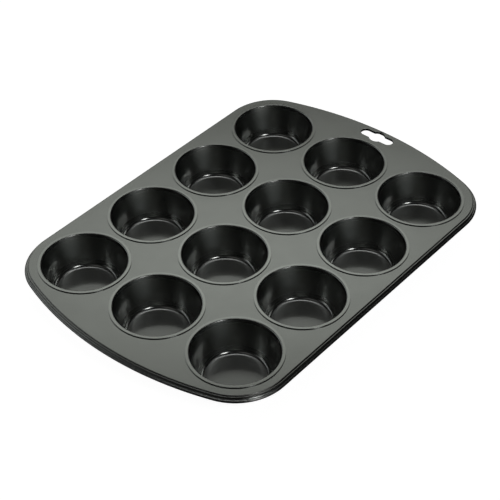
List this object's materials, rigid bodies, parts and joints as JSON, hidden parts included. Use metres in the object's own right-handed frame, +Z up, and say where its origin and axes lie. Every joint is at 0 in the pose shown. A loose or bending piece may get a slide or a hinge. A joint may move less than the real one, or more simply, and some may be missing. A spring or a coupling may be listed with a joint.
{
  "type": "muffin tin",
  "caption": "Rectangular non-stick muffin tin: round drawn cups seated in a sheet-steel plate with a stepped, rolled rim, bulging short ends and a hanging slot.",
  "frame": {"origin": "middle of the tin's outline, on the plane of the cups' undersides", "axes": "+X along the length towards the hanging slot, +Y along the width, +Z up out of the cups"},
  "size_m": [0.381, 0.269, 0.03],
  "materials": {
    "frame_coating": "dark grey satin non-stick coating on sheet steel",
    "cup_coating": "dark grey satin non-stick coating on drawn steel",
    "wire_steel": "bare drawn steel wire"
  },
  "bodies": {
    "root": {"pan_frame": "frame_coating", "rim_wire": "wire_steel", "cup_r1_c1": "cup_coating", "cup_r1_c2": "cup_coating", "cup_r1_c3": "cup_coating", "cup_r1_c4": "cup_coating", "cup_r2_c1": "cup_coating", "cup_r2_c2": "cup_coating", "cup_r2_c3": "cup_coating", "cup_r2_c4": "cup_coating", "cup_r3_c1": "cup_coating", "cup_r3_c2": "cup_coating", "cup_r3_c3": "cup_coating", "cup_r3_c4": "cup_coating"}
  },
  "joints": []
}
